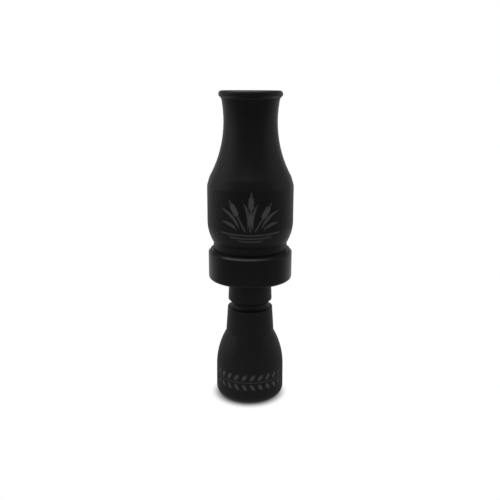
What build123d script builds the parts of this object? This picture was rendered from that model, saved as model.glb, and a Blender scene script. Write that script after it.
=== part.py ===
from build123d import *
import math
import os

# A short-reed game call, standing on the open end of its insert.
# Millimetres, +Z up along the call's axis, origin on the axis at the resting face.
# The reed, the wedge and the engraved badge face -Y.

# Overall size
TOTAL_HEIGHT = 120.4
BELLY_R = 16.5

# Fits
RUNNING_GAP = 0.02          # gap of a turning, sliding or bonded fit

# Barrel: a turned tube with a round belly, a slim throat and a rolled lip
BORE_R = 7.94               # 5/8 inch bore
BARREL_FOOT_Z = 48.95
TENON_R = 14.0
LEDGE_R = 15.3
LEDGE_UNDER_Z = 60.4
LEDGE_TOP_Z = 60.85
NECK_R = 14.2
SHOULDER_FOOT_Z = 63.6
BELLY_LOW_Z = 71.9
BELLY_TOP_Z = 85.5
CROWN_TOP = (15.55, 88.8)   # radius and height where the crown turns into the throat
CROWN_ROUND = 6.0
WAIST = (10.13, 109.5)
LIP_ROOT = (10.79, 117.0)
LIP_UNDER = (11.65, 118.3)
LIP_SIDE = (11.95, 119.2)
RIM_R = 10.8
MOUTH = (10.1, 119.8)
BORE_LEAD_IN = 0.4

# Band: a plain ring bonded on the barrel's tenon
BAND_R = 16.2
BAND_TOP_Z = 60.35
BAND_BEVEL = (15.55, 59.75)   # radius at the top, height at the side
BAND_FOOT_ROUND = 1.3

# Insert: a flared foot, a lanyard groove and a tenon that plugs into the barrel
FOOT_R = 13.5
FOOT_ROUND = 3.6
BELL_TOP = (13.4, 12.5)
BELL_CORNER = (9.5, 26.85)
GROOVE_LOW = (8.82, 37.0)
GROOVE_FLOOR = (7.2, 38.5)
GROOVE_HIGH = (8.6, 40.2)
GROOVE_HIGH_ROUND = 0.4
COLLAR_R = 8.25
INSERT_TENON_R = 7.75
INSERT_TOP_Z = 72.3
TENON_CHAMFER = 0.4
EXHAUST_R = 8.0
EXHAUST_ROUND = 0.6
EXHAUST_THROAT = (4.0, 38.0)
SEAT_R = 5.5
SEAT_FLOOR_Z = 45.9

# O-rings, modelled as squeezed in their grooves
RING_HEIGHTS = {"lower_o_ring": 57.0, "upper_o_ring": 66.0}
RING_GROOVE_R = 6.55
RING_GROOVE_WIDTH = 1.9
RING_WIDTH = 1.64
RING_CORNER = 0.55

# Tone channel: a rod with a reed table, a trough and a bore for the breath
GUTS_R = 5.45
GUTS_LOW_Z = 46.0
GUTS_TOP_Z = 100.0
GUTS_CHAMFER = 0.5
TABLE_Y = -1.6
TABLE_LOW_Z = 58.5
TABLE_CURVE_Z = 75.0
TABLE_TIP_Y = 0.3
BACK_TAPER_Z = 78.0
BACK_TIP_Y = 3.4
TROUGH_WIDTH = 4.0
TROUGH_LOW = (2.1, 60.0)
TROUGH_HIGH = (1.5, 97.0)
TROUGH_END_ROUND = 1.4
TONE_BORE_R = 2.6
TONE_BORE_TOP_Z = 66.0

# Reed and wedge
REED_WIDTH = 9.2
REED_THICKNESS = 0.36
REED_LOW_Z = 59.5
REED_TOP_Z = 98.5
REED_TIP_ROUND = 3.2
WEDGE_LOW_Z = 59.0
WEDGE_TOP_Z = 73.5
WEDGE_CHAMFER = 0.4

# Engraving: cutters are drawn flat, just outside the wall, and stop at the floor of the engraving
ENGRAVE_DEPTH = 0.3
STAND_OFF = 1.0

# Engraved badge: marsh plants over ripples, in millimetres from the badge's centre
BADGE_Z = 75.9
STROKE = 0.75
GROUND = -5.0
RIPPLES = [(-6.0, 11.0), (-7.5, 7.8), (-8.9, 4.4)]                  # height, half width
RIPPLE_SAG = 0.06                                                   # of the half width
CATTAILS = [(-1.9, -6.0, 2.8), (0.0, 0.3, 5.2), (1.9, 5.8, 1.8)]    # foot, head centre
HEAD_LENGTH = 5.0
HEAD_WIDTH = 2.1
SPIKE_LENGTH = 7.6
BLADES = [(-3.8, -11.8, 3.6), (-4.6, -11.2, -1.8), (-1.2, -3.0, 6.0),    # foot, tip
          (1.2, 3.3, 5.6), (3.8, 11.6, 2.8), (4.6, 11.0, -2.2)]
BLADE_WIDTH = 1.2
BLADE_BOW = 0.12                                                    # of the blade's length

# Engraved border: a stem round the foot with leaning leaves above and below it
STEM_Z = 9.6
STEM_WIDTH = 0.5
LEAF_COUNT = 26
LEAF_LENGTH = 3.5
LEAF_WIDTH = 1.5
LEAF_LEAN = 36              # from upright
LEAF_FOOT = 0.6             # above the stem's middle

os.makedirs("parts", exist_ok=True)


# Badge cutter: plants and ripples, one depth into the round belly
badge_plane = Plane(origin=(0, -BELLY_R - STAND_OFF, BADGE_Z), x_dir=(1, 0, 0), z_dir=(0, -1, 0))

with BuildPart() as badge_cutter:
    with BuildSketch(badge_plane):
        for height, half_width in RIPPLES:
            with BuildLine(mode=Mode.PRIVATE):
                ripple = SagittaArc((-half_width, height), (half_width, height), -RIPPLE_SAG * half_width)
            SlotArc(ripple, STROKE)
        for foot_x, head_x, head_y in CATTAILS:
            lean = Vector(head_x - foot_x, head_y - GROUND).normalized()
            lean_angle = lean.get_signed_angle(Vector(1, 0))
            with BuildLine(mode=Mode.PRIVATE):
                stalk = Line((foot_x, GROUND), Vector(head_x, head_y) + lean * SPIKE_LENGTH / 2)
            SlotArc(stalk, STROKE)
            with Locations((head_x, head_y)):
                SlotOverall(HEAD_LENGTH, HEAD_WIDTH, rotation=lean_angle)
        for foot_x, tip_x, tip_y in BLADES:
            bow = math.copysign(BLADE_BOW, foot_x) * math.hypot(tip_x - foot_x, tip_y - GROUND)
            with BuildLine():
                for edge_bow in (bow - BLADE_WIDTH / 2, bow + BLADE_WIDTH / 2):
                    SagittaArc((foot_x, GROUND), (tip_x, tip_y), edge_bow)
            make_face()
    extrude(amount=-BELLY_R)
    # The core that stays: the belly and its shoulder, one engraving depth in
    with BuildSketch(Plane.XZ):
        with BuildLine():
            core_foot = Line((0, SHOULDER_FOOT_Z), (NECK_R - ENGRAVE_DEPTH, SHOULDER_FOOT_Z))
            TangentArc((BELLY_R - ENGRAVE_DEPTH, BELLY_LOW_Z), core_foot @ 1, tangent=(0, -1))
            Polyline(
                (BELLY_R - ENGRAVE_DEPTH, BELLY_LOW_Z),
                (BELLY_R - ENGRAVE_DEPTH, BELLY_TOP_Z),
                (0, BELLY_TOP_Z),
                core_foot @ 0,
            )
        make_face()
    revolve(axis=Axis.Z, mode=Mode.SUBTRACT)


# Leaf cutter: one leaf above the stem and its mirror image below
leaf_plane = Plane(origin=(0, -FOOT_R - STAND_OFF, STEM_Z), x_dir=(1, 0, 0), z_dir=(0, -1, 0))
leaf_root = Vector(0, LEAF_FOOT)
leaf_tip = leaf_root + Vector(0, LEAF_LENGTH).rotate(Axis.Z, -LEAF_LEAN)

with BuildPart() as leaf_cutter:
    with BuildSketch(leaf_plane):
        with BuildLine():
            for bow in (-LEAF_WIDTH / 2, LEAF_WIDTH / 2):
                SagittaArc(leaf_root, leaf_tip, bow)
        make_face()
        mirror(about=Plane.XZ)
    extrude(amount=-2 * STAND_OFF)

# Border cutter: the leaves in a ring and the stem between them, less the core that stays
with BuildPart() as border_cutter:
    with PolarLocations(0, LEAF_COUNT):
        add(leaf_cutter.part)
    with Locations((0, 0, STEM_Z)):
        Cylinder(FOOT_R + STAND_OFF, STEM_WIDTH)
    Cylinder(FOOT_R - ENGRAVE_DEPTH, 2 * TOTAL_HEIGHT, mode=Mode.SUBTRACT)


# Barrel
with BuildPart() as barrel:
    with BuildSketch(Plane.XZ):
        with BuildLine():
            foot = Polyline(
                (BORE_R + BORE_LEAD_IN, BARREL_FOOT_Z),
                (TENON_R, BARREL_FOOT_Z),
                (TENON_R, LEDGE_UNDER_Z),
                (LEDGE_R, LEDGE_UNDER_Z),
                (LEDGE_R, LEDGE_TOP_Z),
                (NECK_R, LEDGE_TOP_Z),
                (NECK_R, SHOULDER_FOOT_Z),
            )
            TangentArc((BELLY_R, BELLY_LOW_Z), foot @ 1, tangent=(0, -1))
            Polyline((BELLY_R, BELLY_LOW_Z), (BELLY_R, BELLY_TOP_Z), CROWN_TOP)
            TangentArc(WAIST, CROWN_TOP, tangent=(0, -1))
            flare = TangentArc(WAIST, LIP_ROOT, tangent=(0, 1))
            TangentArc(LIP_ROOT, LIP_UNDER, tangent=flare % 1)
            ThreePointArc(LIP_UNDER, LIP_SIDE, (RIM_R, TOTAL_HEIGHT))
            TangentArc((RIM_R, TOTAL_HEIGHT), MOUTH, tangent=(-1, 0))
            TangentArc((BORE_R, WAIST[1]), MOUTH, tangent=(0, 1))
            Polyline(
                (BORE_R, WAIST[1]),
                (BORE_R, BARREL_FOOT_Z + BORE_LEAD_IN),
                (BORE_R + BORE_LEAD_IN, BARREL_FOOT_Z),
            )
        make_face()
    revolve(axis=Axis.Z)
    fillet(edges().filter_by_position(Axis.Z, BELLY_TOP_Z, CROWN_TOP[1]), CROWN_ROUND)
    add(badge_cutter.part, mode=Mode.SUBTRACT)
barrel.part.label = "barrel"
export_step(barrel.part, "parts/barrel.step")


# Band
with BuildPart() as band:
    with BuildSketch(Plane.XZ):
        with BuildLine():
            Polyline(
                (TENON_R + RUNNING_GAP, BARREL_FOOT_Z),
                (BAND_R, BARREL_FOOT_Z),
                (BAND_R, BAND_BEVEL[1]),
                (BAND_BEVEL[0], BAND_TOP_Z),
                (TENON_R + RUNNING_GAP, BAND_TOP_Z),
                close=True,
            )
        make_face()
    revolve(axis=Axis.Z)
    outer_foot = edges().filter_by(GeomType.CIRCLE).group_by(Axis.Z)[0].sort_by(SortBy.RADIUS)[-1]
    fillet(outer_foot, BAND_FOOT_ROUND)
band.part.label = "band"
export_step(band.part, "parts/band.step")


# Insert
with BuildPart() as insert:
    with BuildSketch(Plane.XZ):
        with BuildLine():
            Polyline((EXHAUST_R, 0), (FOOT_R, 0), BELL_TOP)
            TangentArc(BELL_TOP, BELL_CORNER, tangent=(BELL_TOP[0] - FOOT_R, BELL_TOP[1]))
            Line(BELL_CORNER, GROOVE_LOW)
            ThreePointArc(GROOVE_LOW, GROOVE_FLOOR, GROOVE_HIGH)
            Polyline(
                GROOVE_HIGH,
                (COLLAR_R, BARREL_FOOT_Z - RUNNING_GAP),
                (INSERT_TENON_R, BARREL_FOOT_Z - RUNNING_GAP),
                (INSERT_TENON_R, INSERT_TOP_Z),
                (SEAT_R, INSERT_TOP_Z),
                (SEAT_R, SEAT_FLOOR_Z),
                (EXHAUST_THROAT[0], SEAT_FLOOR_Z),
                EXHAUST_THROAT,
            )
            TangentArc(EXHAUST_THROAT, (EXHAUST_R, 0), tangent=(0, -1))
        make_face()
    revolve(axis=Axis.Z)
    base_edges = edges().filter_by(GeomType.CIRCLE).group_by(Axis.Z)[0].sort_by(SortBy.RADIUS)
    fillet(base_edges[-1], FOOT_ROUND)
    fillet(base_edges[0], EXHAUST_ROUND)
    fillet(edges().filter_by_position(Axis.Z, GROOVE_HIGH[1], GROOVE_HIGH[1]), GROOVE_HIGH_ROUND)
    tenon_end = edges().filter_by(GeomType.CIRCLE).group_by(Axis.Z)[-1].sort_by(SortBy.RADIUS)[-1]
    chamfer(tenon_end, TENON_CHAMFER)
    with BuildSketch(Plane.XZ):
        for height in RING_HEIGHTS.values():
            with Locations((RING_GROOVE_R, height)):
                Rectangle(INSERT_TENON_R, RING_GROOVE_WIDTH, align=(Align.MIN, Align.CENTER))
    revolve(axis=Axis.Z, mode=Mode.SUBTRACT)
    add(border_cutter.part, mode=Mode.SUBTRACT)
insert.part.label = "insert"
export_step(insert.part, "parts/insert.step")


# O-rings: a gap clear of the groove root and of the barrel's bore
ring_low_r = RING_GROOVE_R + RUNNING_GAP
ring_high_r = BORE_R - RUNNING_GAP

for name, height in RING_HEIGHTS.items():
    with BuildPart() as o_ring:
        with BuildSketch(Plane.XZ):
            with Locations(((ring_low_r + ring_high_r) / 2, height)):
                RectangleRounded(ring_high_r - ring_low_r, RING_WIDTH, RING_CORNER)
        revolve(axis=Axis.Z)
    o_ring.part.label = name
    export_step(o_ring.part, f"parts/{name}.step")


# Tone channel
with BuildPart() as tone_channel:
    with BuildSketch(Plane.XY.offset(GUTS_LOW_Z)):
        Circle(GUTS_R)
    extrude(amount=GUTS_TOP_Z - GUTS_LOW_Z)
    chamfer(edges().group_by(Axis.Z)[0], GUTS_CHAMFER)
    # Reed table, falling away from the reed towards the tip
    with BuildSketch(Plane.YZ):
        with BuildLine():
            table = Line((TABLE_Y, TABLE_LOW_Z), (TABLE_Y, TABLE_CURVE_Z))
            curve = TangentArc(table @ 1, (TABLE_TIP_Y, GUTS_TOP_Z), tangent=(0, 1))
            Polyline(curve @ 1, (-2 * GUTS_R, GUTS_TOP_Z), (-2 * GUTS_R, TABLE_LOW_Z), table @ 0)
        make_face()
        # Relief of the back
        with BuildLine():
            Polyline(
                (GUTS_R, BACK_TAPER_Z),
                (BACK_TIP_Y, GUTS_TOP_Z),
                (2 * GUTS_R, GUTS_TOP_Z),
                (2 * GUTS_R, BACK_TAPER_Z),
                close=True,
            )
        make_face()
    extrude(amount=GUTS_R, both=True, mode=Mode.SUBTRACT)
    # Trough under the reed, and the bore that leads the breath out of it
    with BuildSketch(Plane.YZ):
        with BuildLine():
            Polyline(
                (-GUTS_R, TROUGH_LOW[1]),
                TROUGH_LOW,
                TROUGH_HIGH,
                (-GUTS_R, TROUGH_HIGH[1]),
                close=True,
            )
        make_face()
        fillet(vertices().sort_by(Axis.Y)[-2:].sort_by(Axis.X)[-1], TROUGH_END_ROUND)
    extrude(amount=TROUGH_WIDTH / 2, both=True, mode=Mode.SUBTRACT)
    with BuildSketch(Plane.XY.offset(GUTS_LOW_Z)):
        Circle(TONE_BORE_R)
    extrude(amount=TONE_BORE_TOP_Z - GUTS_LOW_Z, mode=Mode.SUBTRACT)
tone_channel.part.label = "tone_channel"
export_step(tone_channel.part, "parts/tone_channel.step")


# Reed: a flat strip with a rounded tip, lying on the table
reed_back_y = TABLE_Y - RUNNING_GAP

with BuildPart() as reed:
    with BuildSketch(Plane.XZ.offset(-reed_back_y)):
        with Locations((0, REED_LOW_Z)):
            Rectangle(REED_WIDTH, REED_TOP_Z - REED_LOW_Z, align=(Align.CENTER, Align.MIN))
        fillet(vertices().group_by(Axis.Y)[-1], REED_TIP_ROUND)
    extrude(amount=REED_THICKNESS)
reed.part.label = "reed"
export_step(reed.part, "parts/reed.step")


# Wedge: the segment of the seat bore that is left in front of the reed
wedge_back_y = reed_back_y - REED_THICKNESS - RUNNING_GAP

with BuildPart() as wedge:
    with BuildSketch(Plane.XY.offset(WEDGE_LOW_Z)):
        Circle(SEAT_R - RUNNING_GAP)
        with Locations((0, wedge_back_y)):
            Rectangle(2 * SEAT_R, 2 * SEAT_R, align=(Align.CENTER, Align.MIN), mode=Mode.SUBTRACT)
    extrude(amount=WEDGE_TOP_Z - WEDGE_LOW_Z)
    chamfer(edges().group_by(Axis.Z)[0] + edges().group_by(Axis.Z)[-1], WEDGE_CHAMFER)
wedge.part.label = "wedge"
export_step(wedge.part, "parts/wedge.step")
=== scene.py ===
import math

import bmesh
import bpy
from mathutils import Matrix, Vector


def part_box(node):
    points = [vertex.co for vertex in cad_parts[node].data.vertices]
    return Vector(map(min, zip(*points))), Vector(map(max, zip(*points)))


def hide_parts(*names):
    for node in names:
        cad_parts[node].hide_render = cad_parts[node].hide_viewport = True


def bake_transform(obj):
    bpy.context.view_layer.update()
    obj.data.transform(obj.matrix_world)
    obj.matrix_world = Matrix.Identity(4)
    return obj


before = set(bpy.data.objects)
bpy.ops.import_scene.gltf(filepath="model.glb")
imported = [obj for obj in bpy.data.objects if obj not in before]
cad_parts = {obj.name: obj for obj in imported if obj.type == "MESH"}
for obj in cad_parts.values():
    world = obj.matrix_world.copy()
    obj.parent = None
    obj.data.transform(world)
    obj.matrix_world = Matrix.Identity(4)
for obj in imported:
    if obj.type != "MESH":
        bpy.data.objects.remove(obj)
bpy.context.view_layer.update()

MM = 0.001


# ---------------------------------------------------------------- helpers

def add(name, data):
    """A new object in the scene, empty if its data is None."""
    made = bpy.data.objects.new(name, data)
    bpy.context.scene.collection.objects.link(made)
    return made


def grey(level):
    return (level, level, level, 1.0)


class Graph:
    """A short way to write the node tree of a material or a world."""

    def __init__(self, owner, output="OutputMaterial"):
        owner.use_nodes = True
        self.owner = owner
        self.tree = owner.node_tree
        self.tree.nodes.clear()
        self.output = self.node(output)

    def node(self, kind, **settings):
        made = self.tree.nodes.new("ShaderNode" + kind)
        for key, value in settings.items():
            setattr(made, key, value)
        return made

    def feed(self, socket, value):
        if isinstance(value, bpy.types.NodeSocket):
            self.tree.links.new(value, socket)
        else:
            socket.default_value = value

    def surface(self, shader):
        self.feed(self.output.inputs["Surface"], shader.outputs[0])

    def math(self, operation, a, b=0.0, clamp=False):
        made = self.node("Math", operation=operation, use_clamp=clamp)
        self.feed(made.inputs[0], a)
        self.feed(made.inputs[1], b)
        return made.outputs[0]

    def length(self, x, y):
        """The distance from the origin to (x, y)."""
        return self.math("SQRT", self.math("ADD", self.math("MULTIPLY", x, x), self.math("MULTIPLY", y, y)))

    def between(self, value, low, high):
        """1 where low < value < high, 0 elsewhere."""
        above = self.math("GREATER_THAN", value, low)
        return self.math("MULTIPLY", above, self.math("LESS_THAN", value, high))

    def vary(self, noise, base, amount):
        """base, and up to amount more with the noise."""
        return self.math("ADD", base, self.math("MULTIPLY", noise, amount))

    def range(self, value, low, high, to_low=0.0, to_high=1.0):
        """Turns smoothly from to_low to to_high as value goes from low to high."""
        made = self.node("MapRange", interpolation_type="SMOOTHSTEP")
        for socket, number in zip(made.inputs[:5], (value, low, high, to_low, to_high)):
            self.feed(socket, number)
        return made.outputs[0]

    def mix(self, share, a, b, colour=False):
        made = self.node("Mix", data_type="RGBA" if colour else "FLOAT")
        first = 6 if colour else 2
        self.feed(made.inputs[0], share)
        self.feed(made.inputs[first], a)
        self.feed(made.inputs[first + 1], b)
        return made.outputs[2 if colour else 0]

    def place(self):
        """Object coordinates in metres, which are the CAD's own."""
        return self.node("TexCoord").outputs["Object"]

    def split(self, vector):
        made = self.node("SeparateXYZ")
        self.feed(made.inputs[0], vector)
        return made.outputs

    def vector(self, x=0.0, y=0.0, z=0.0):
        made = self.node("CombineXYZ")
        for socket, value in zip(made.inputs, (x, y, z)):
            self.feed(socket, value)
        return made.outputs[0]

    def noise(self, coordinates, scale, detail=2.0, roughness=0.5):
        """Noise with this many features per metre."""
        made = self.node("TexNoise")
        self.feed(made.inputs["Vector"], coordinates)
        made.inputs["Scale"].default_value = scale
        made.inputs["Detail"].default_value = detail
        made.inputs["Roughness"].default_value = roughness
        return made.outputs["Fac"]

    def bump(self, height, distance, strength):
        made = self.node("Bump")
        made.inputs["Strength"].default_value = strength
        made.inputs["Distance"].default_value = distance
        self.feed(made.inputs["Height"], height)
        return made.outputs["Normal"]

    def edge_wear(self, reach, breakup):
        """1 on sharp edges within reach, broken up by a noise, 0 on plain faces."""
        turned_from, turned_to = 0.01, 0.12     # 1 less the cosine between the true and the rounded normal
        bare_from, bare_to = 0.35, 0.65         # of the noise that breaks the wear up
        rounded = self.node("Bevel", samples=6)
        rounded.inputs["Radius"].default_value = reach
        facing = self.node("VectorMath", operation="DOT_PRODUCT")
        self.feed(facing.inputs[0], rounded.outputs[0])
        self.feed(facing.inputs[1], self.node("NewGeometry").outputs["Normal"])
        turned = self.math("SUBTRACT", 1.0, facing.outputs["Value"])
        edge = self.range(turned, turned_from, turned_to)
        return self.math("MULTIPLY", edge, self.range(breakup, bare_from, bare_to))

    def hairlines(self, place, stretch, width, cover):
        """1 along sparse fine scratches, 0 elsewhere; they run along the axes with the smallest stretch."""
        patch_scale, patch_edge = 140.0, 0.05
        squeezed = self.node("Mapping")
        self.feed(squeezed.inputs["Vector"], place)
        squeezed.inputs["Scale"].default_value = stretch
        field = self.noise(squeezed.outputs[0], scale=1.0, detail=1.0)
        off_line = self.math("ABSOLUTE", self.math("SUBTRACT", field, 0.5))
        line = self.range(off_line, 0.0, width, 1.0, 0.0)
        patches = self.range(self.noise(place, patch_scale), 1.0 - cover, 1.0 + patch_edge - cover)
        return self.math("MULTIPLY", line, patches)

    def principled(self, **values):
        """Gives the material a principled surface with these inputs, and returns the material."""
        made = self.node("BsdfPrincipled")
        for key, value in values.items():
            self.feed(made.inputs[key.replace("_", " ")], value)
        self.surface(made)
        return self.owner


# ---------------------------------------------------------------- engraved areas

ENGRAVE_DEPTH = 0.3 * MM
BELLY_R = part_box("barrel")[1][0]        # the barrel is widest at its belly
BELLY_LOW_Z = 71.9 * MM                 # the belly is straight above this height and rounds in below it
BELLY_ROUND = 16.13 * MM                # the radius of that round
BADGE_Z = (65.5 * MM, 85.4 * MM)        # the badge lies between these heights
BADGE_INNER_R = 13.0 * MM               # the badge lies outside this radius and the bore inside it
BORDER_Z = (5.8 * MM, 13.1 * MM)        # the floor of the border lies between these heights
BORDER_R = (12.6 * MM, 13.3 * MM)       # and between these radii


def badge_cut(g, radius, z):
    """1 on the floor of the badge's engraving, 0 elsewhere on the barrel."""
    drop = g.math("MAXIMUM", g.math("SUBTRACT", BELLY_LOW_Z, z), 0.0)
    reach = g.math("SQRT", g.math("SUBTRACT", BELLY_ROUND ** 2, g.math("MULTIPLY", drop, drop)))
    outline = g.math("ADD", BELLY_R - BELLY_ROUND, reach)
    deep = g.math("GREATER_THAN", g.math("SUBTRACT", outline, radius), ENGRAVE_DEPTH / 2)
    outside = g.math("GREATER_THAN", radius, BADGE_INNER_R)
    return g.math("MULTIPLY", g.math("MULTIPLY", deep, g.between(z, *BADGE_Z)), outside)


def border_cut(g, radius, z):
    """1 on the floor of the laurel border's engraving, 0 elsewhere on the insert."""
    return g.math("MULTIPLY", g.between(z, *BORDER_Z), g.between(radius, *BORDER_R))


# ---------------------------------------------------------------- materials

def turned_black(name, engraved, level, specular, roughness):
    """Satin black plastic off a lathe: fine rings, haze, rubbed edges, scratches and a frosted engraving."""
    haze_rough = 0.20
    worn_rough, scratched_rough, engraved_rough = 0.28, 0.60, 0.62
    grain_dark, grain_light = 0.6 * level, 1.4 * level
    worn_level = level + 0.010
    frost_dark, frost_light = 0.085, 0.235
    scratch_paleness = 0.7
    grain_span = (0.3, 0.7)     # of the grain's noise, from its dark to its light
    ring_depth, scratch_depth = 0.35, 0.4   # as shares of the grain's depth

    g = Graph(bpy.data.materials.new(name))
    place = g.place()
    x, y, z = g.split(place)
    radius = g.length(x, y)

    # Turning marks run round the part, so their noise changes with radius and height alone
    along = g.vector(x=radius, z=z)
    rings = g.math("ADD", g.noise(along, scale=4200.0, detail=3.0), g.noise(along, scale=800.0))
    grain = g.noise(place, scale=1900.0, detail=4.0, roughness=0.75)
    haze = g.noise(place, scale=60.0, detail=4.0, roughness=0.6)
    worn = g.edge_wear(reach=0.35 * MM, breakup=g.noise(place, scale=300.0, detail=3.0))
    level_scratch = g.hairlines(place, stretch=(70.0, 70.0, 520.0), width=0.006, cover=0.42)
    upright_scratch = g.hairlines(place, stretch=(420.0, 300.0, 60.0), width=0.005, cover=0.38)
    scratch = g.math("ADD", level_scratch, upright_scratch, clamp=True)

    # The laser leaves the engraving frosted, in fine level lines
    cut = engraved(g, radius, z)
    frost = g.mix(0.5, grain, g.noise(g.vector(z=z), scale=9000.0))

    rough = g.vary(haze, base=roughness - haze_rough / 2, amount=haze_rough)
    rough = g.mix(worn, rough, worn_rough)
    rough = g.mix(scratch, rough, scratched_rough)
    rough = g.mix(cut, rough, engraved_rough)

    plain = g.mix(g.range(grain, *grain_span), grey(grain_dark), grey(grain_light), colour=True)
    rubbed = g.math("MAXIMUM", worn, g.math("MULTIPLY", scratch, scratch_paleness))
    plain = g.mix(rubbed, plain, grey(worn_level), colour=True)
    frosted = g.mix(frost, grey(frost_dark), grey(frost_light), colour=True)

    relief = g.math("ADD", g.math("MULTIPLY", rings, ring_depth), grain)
    relief = g.math("SUBTRACT", relief, g.math("MULTIPLY", scratch, scratch_depth))
    colour = g.mix(cut, plain, frosted, colour=True)
    return g.principled(Base_Color=colour, Roughness=rough, IOR=1.46, Specular_IOR_Level=specular,
                        Normal=g.bump(relief, distance=0.022 * MM, strength=0.7))


def anodised(name):
    """Satin black anodised metal: fine turning rings, haze and slightly rubbed edges."""
    worn_rough = 0.40
    plain_level, worn_level = 0.002, 0.012

    g = Graph(bpy.data.materials.new(name))
    place = g.place()
    x, y, z = g.split(place)
    rings = g.noise(g.vector(x=g.length(x, y), z=z), scale=5200.0, detail=3.0)
    haze = g.noise(place, scale=90.0, detail=3.0)
    worn = g.edge_wear(reach=0.25 * MM, breakup=g.noise(place, scale=420.0, detail=3.0))
    rough = g.mix(worn, g.vary(haze, base=0.24, amount=0.10), worn_rough)
    colour = g.mix(worn, grey(plain_level), grey(worn_level), colour=True)
    return g.principled(Base_Color=colour, Roughness=rough, IOR=1.45, Specular_IOR_Level=0.5,
                        Normal=g.bump(rings, distance=0.005 * MM, strength=0.6))


def rubber(name, level):
    """Dull black rubber with a fine grain."""
    g = Graph(bpy.data.materials.new(name))
    grain = g.noise(g.place(), scale=1800.0, detail=4.0)
    return g.principled(Base_Color=grey(level), Roughness=g.vary(grain, base=0.45, amount=0.20),
                        Normal=g.bump(grain, distance=0.010 * MM, strength=0.6))


def moulded(name, level):
    """Moulded black plastic with a fine grain and a little haze."""
    g = Graph(bpy.data.materials.new(name))
    place = g.place()
    grain = g.noise(place, scale=1500.0, detail=3.0)
    haze = g.noise(place, scale=120.0, detail=3.0)
    return g.principled(Base_Color=grey(level), Roughness=g.vary(haze, base=0.34, amount=0.18),
                        Normal=g.bump(grain, distance=0.006 * MM, strength=0.6))


def film(name):
    """Frosted polyester film, slightly clear, with fine marks along its length."""
    frost_dark, frost_light = (0.74, 0.75, 0.71, 1), (0.90, 0.91, 0.87, 1)
    mark_rough = 0.22

    g = Graph(bpy.data.materials.new(name))
    place = g.place()
    frost = g.noise(place, scale=3000.0, detail=3.0)
    marks = g.hairlines(place, stretch=(900.0, 200.0, 45.0), width=0.010, cover=0.45)
    colour = g.mix(frost, frost_dark, frost_light, colour=True)
    rough = g.mix(marks, g.vary(frost, base=0.34, amount=0.16), mark_rough)
    relief = g.math("SUBTRACT", frost, marks)
    return g.principled(Base_Color=colour, Roughness=rough, Transmission_Weight=0.25, IOR=1.5,
                        Normal=g.bump(relief, distance=0.005 * MM, strength=0.6))


def dress(node, material):
    """Gives a CAD node this material alone."""
    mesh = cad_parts[node].data
    mesh.materials.clear()
    mesh.materials.append(material)


dress("barrel", turned_black("barrel_black", badge_cut, level=0.0045, specular=0.50, roughness=0.42))
# The insert's level is three times the barrel's, though both are the same black plastic: painted light,
# standing in for the floor's light on the lower part of the call.
dress("insert", turned_black("insert_black", border_cut, level=0.015, specular=0.40, roughness=0.46))
dress("band", anodised("band_black"))
ring_rubber = rubber("o_ring_black", level=0.012)
dress("lower_o_ring", ring_rubber)
dress("upper_o_ring", ring_rubber)
dress("tone_channel", moulded("guts_black", level=0.012))
dress("wedge", rubber("wedge_grey", level=0.03))


# ---------------------------------------------------------------- reed

def reed_strip():
    """The reed as a thin film with soft edges, in fine rows along its length."""
    low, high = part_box("reed")
    half_width, half_thick = (high[0] - low[0]) / 2, (high[1] - low[1]) / 2
    middle_y = (low[1] + high[1]) / 2
    tip_round = 3.2 * MM
    edge_round = 0.12 * MM
    straight_rows, tip_rows, edge_steps, face_steps = 72, 12, 4, 6

    # One corner of the section, from its side to its face; the other three mirror it
    turns = [step * math.pi / 2 / edge_steps for step in range(edge_steps + 1)]
    corner = [(edge_round * (math.cos(a) - 1), half_thick + edge_round * (math.sin(a) - 1)) for a in turns]
    face = [step / face_steps for step in range(1, 2 * face_steps)]

    heights = [low[2] + (high[2] - tip_round - low[2]) * row / straight_rows for row in range(straight_rows)]
    rows = [(z, half_width) for z in heights]
    for row in range(tip_rows + 1):
        turn = math.pi / 2 * row / tip_rows
        rows.append((high[2] - tip_round + tip_round * math.sin(turn),
                     half_width - tip_round + tip_round * math.cos(turn)))

    made = bmesh.new()
    rings = []
    for z, reach in rows:
        right = [(reach + dx, dy) for dx, dy in corner]
        inner = right[-1][0]
        back = [(inner * (1 - share), half_thick) for share in face]
        left = [(-x, y) for x, y in reversed(right)]
        upper = right + back + left
        lower = [(-x, -y) for x, y in upper]
        rings.append([made.verts.new((x, middle_y + y, z)) for x, y in upper + lower])
    for below, above in zip(rings, rings[1:]):
        for i in range(len(below)):
            j = (i + 1) % len(below)
            made.faces.new((below[i], below[j], above[j], above[i]))
    made.faces.new(list(reversed(rings[0])))
    made.faces.new(rings[-1])
    bmesh.ops.recalc_face_normals(made, faces=made.faces)
    for side in made.faces:
        side.smooth = True
    mesh = bpy.data.meshes.new("reed_strip")
    made.to_mesh(mesh)
    made.free()
    mesh.materials.append(film("reed_film"))
    strip = add("reed_strip", mesh)

    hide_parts("reed")
    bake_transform(strip)


reed_strip()


# ---------------------------------------------------------------- stage

FLOOR_SIZE = 6.0
AMBIENT = 0.17                          # the light from all round
# The contact shadow is painted: the floor's brightness to the camera drops in a ring round the foot.
SHADOW_RING = (10.2 * MM, 16.0 * MM)    # the contact shadow fades out between these distances from the axis
SHADOW_SHIFT = 0.3 * MM                 # towards -X

# The floor's brightness in the object's reflections, and the distances over which one turns into the next
NEAR_GLOW, MIDDLE_GLOW, FAR_GLOW = 0.25, 0.045, 0.20
NEAR_TO_MIDDLE = (0.20, 0.32)
MIDDLE_TO_FAR = (0.50, 1.00)

# Behind the object the near part is brighter by a share and the rest by an amount; each sets in between
# two distances. A place counts as behind from the first to the second ratio of its y to its distance.
BEHIND_SHARE, SHARE_FROM = 1.6, (0.05, 0.17)
BEHIND_GLOW, GLOW_FROM = 0.37, (0.26, 0.42)
BEHIND_RATIO = (-0.2, 0.8)


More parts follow.
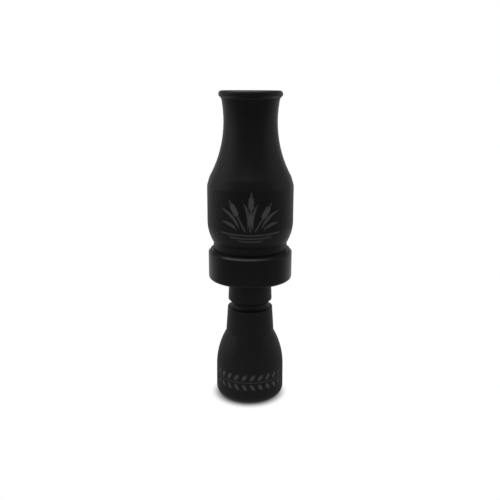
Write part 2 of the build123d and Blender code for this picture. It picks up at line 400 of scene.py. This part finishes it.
def floor_glow(g, x, y):
    """The floor's brightness as the object's reflections see it."""
    out = g.length(x, y)
    behind = g.range(g.math("DIVIDE", y, out), *BEHIND_RATIO)
    share = g.range(out, *SHARE_FROM, 0.0, BEHIND_SHARE)
    gain = g.math("ADD", g.math("MULTIPLY", behind, share), 1.0)
    near = g.math("MULTIPLY", g.range(out, *NEAR_TO_MIDDLE, NEAR_GLOW - MIDDLE_GLOW, 0.0), gain)
    back = g.math("MULTIPLY", behind, g.range(out, *GLOW_FROM, 0.0, BEHIND_GLOW))
    far = g.range(out, *MIDDLE_TO_FAR, MIDDLE_GLOW, FAR_GLOW)
    return g.math("ADD", near, g.math("ADD", back, far))


def floor_material():
    """White to the camera with a painted contact shadow where the object stands; grey to everything else."""
    g = Graph(bpy.data.materials.new("floor_white"))
    x, y = g.split(g.place())[:2]
    seen = g.node("Emission")
    # Painted shadow: a ring of lower emission round the axis, shifted a little towards -X.
    from_shadow = g.length(g.math("ADD", x, SHADOW_SHIFT), y)
    g.feed(seen.inputs["Strength"], g.range(from_shadow, *SHADOW_RING))
    bounced = g.node("Emission")
    g.feed(bounced.inputs["Strength"], floor_glow(g, x, y))
    shared = g.node("MixShader")
    g.feed(shared.inputs[0], g.node("LightPath").outputs["Is Camera Ray"])
    g.feed(shared.inputs[1], bounced.outputs[0])
    g.feed(shared.inputs[2], seen.outputs[0])
    g.surface(shared)
    return g.owner


def floor():
    """A square floor at the height the object stands on."""
    half = FLOOR_SIZE / 2
    mesh = bpy.data.meshes.new("floor")
    mesh.from_pydata([(-half, -half, 0), (half, -half, 0), (half, half, 0), (-half, half, 0)], [],
                     [(0, 1, 2, 3)])
    mesh.materials.append(floor_material())
    made = add("floor", mesh)
    return made


def backdrop():
    """White behind the object; an even soft grey light from all round it."""
    world = bpy.data.worlds.new("studio")
    bpy.context.scene.world = world
    g = Graph(world, "OutputWorld")
    back = g.node("Background")
    g.feed(back.inputs["Color"], grey(1.0))
    g.feed(back.inputs["Strength"], g.mix(g.node("LightPath").outputs["Is Camera Ray"], AMBIENT, 1.0))
    g.surface(back)


ground = floor()
backdrop()


# ---------------------------------------------------------------- camera and lights

CAMERA_PLACE = (0.0, -0.24187, 0.12213)
CAMERA_PITCH = math.radians(14.431)     # downwards
CAMERA_ROLL = math.radians(-0.2)
CAMERA_SHIFT = -0.0015                  # sideways, as a share of the picture's width
LENS_MM, SENSOR_MM = 46.04, 36.0
CLIP_START = 0.01
LAMP_AIM = Vector((0.0, 0.0, 0.06))     # about half way up the object


def fitted_camera():
    """The camera, fitted to the photo."""
    data = bpy.data.cameras.new("camera")
    data.sensor_width = SENSOR_MM
    data.lens = LENS_MM
    data.clip_start = CLIP_START
    data.shift_x = CAMERA_SHIFT
    made = add("camera", data)
    made.location = CAMERA_PLACE
    made.rotation_euler = (math.pi / 2 - CAMERA_PITCH, CAMERA_ROLL, 0.0)
    bpy.context.scene.camera = made
    return made


def turntable(target):
    """An empty on the axis that turns so that its -Y side faces the target."""
    made = add("light_rig", None)
    follow = made.constraints.new("LOCKED_TRACK")
    follow.target = target
    follow.track_axis = "TRACK_NEGATIVE_Y"
    follow.lock_axis = "LOCK_Z"
    return made


# The floor and the lamps follow the camera round the object
rig = turntable(fitted_camera())
ground.parent = rig


def softbox(name, place, width, height, watts):
    """A soft lamp on the turntable, aimed at the object and hidden from the camera."""
    data = bpy.data.lights.new(name, "AREA")
    data.shape = "RECTANGLE"
    data.size = width
    data.size_y = height
    data.energy = watts
    lamp = add(name, data)
    lamp.location = place
    lamp.rotation_euler = (LAMP_AIM - Vector(place)).to_track_quat("-Z", "Y").to_euler()
    lamp.visible_camera = False
    lamp.parent = rig


softbox("overhead", place=(-0.1, 0.1, 0.9), width=0.9, height=0.9, watts=4.0)
softbox("left", place=(-0.9, 0.0, 0.3), width=0.9, height=0.9, watts=1.0)
softbox("right", place=(0.9, 0.0, 0.3), width=0.9, height=0.9, watts=0.6)
softbox("back", place=(0.0, 1.5, 0.4), width=3.6, height=0.8, watts=3.0)

bpy.context.scene.view_settings.view_transform = "Standard"
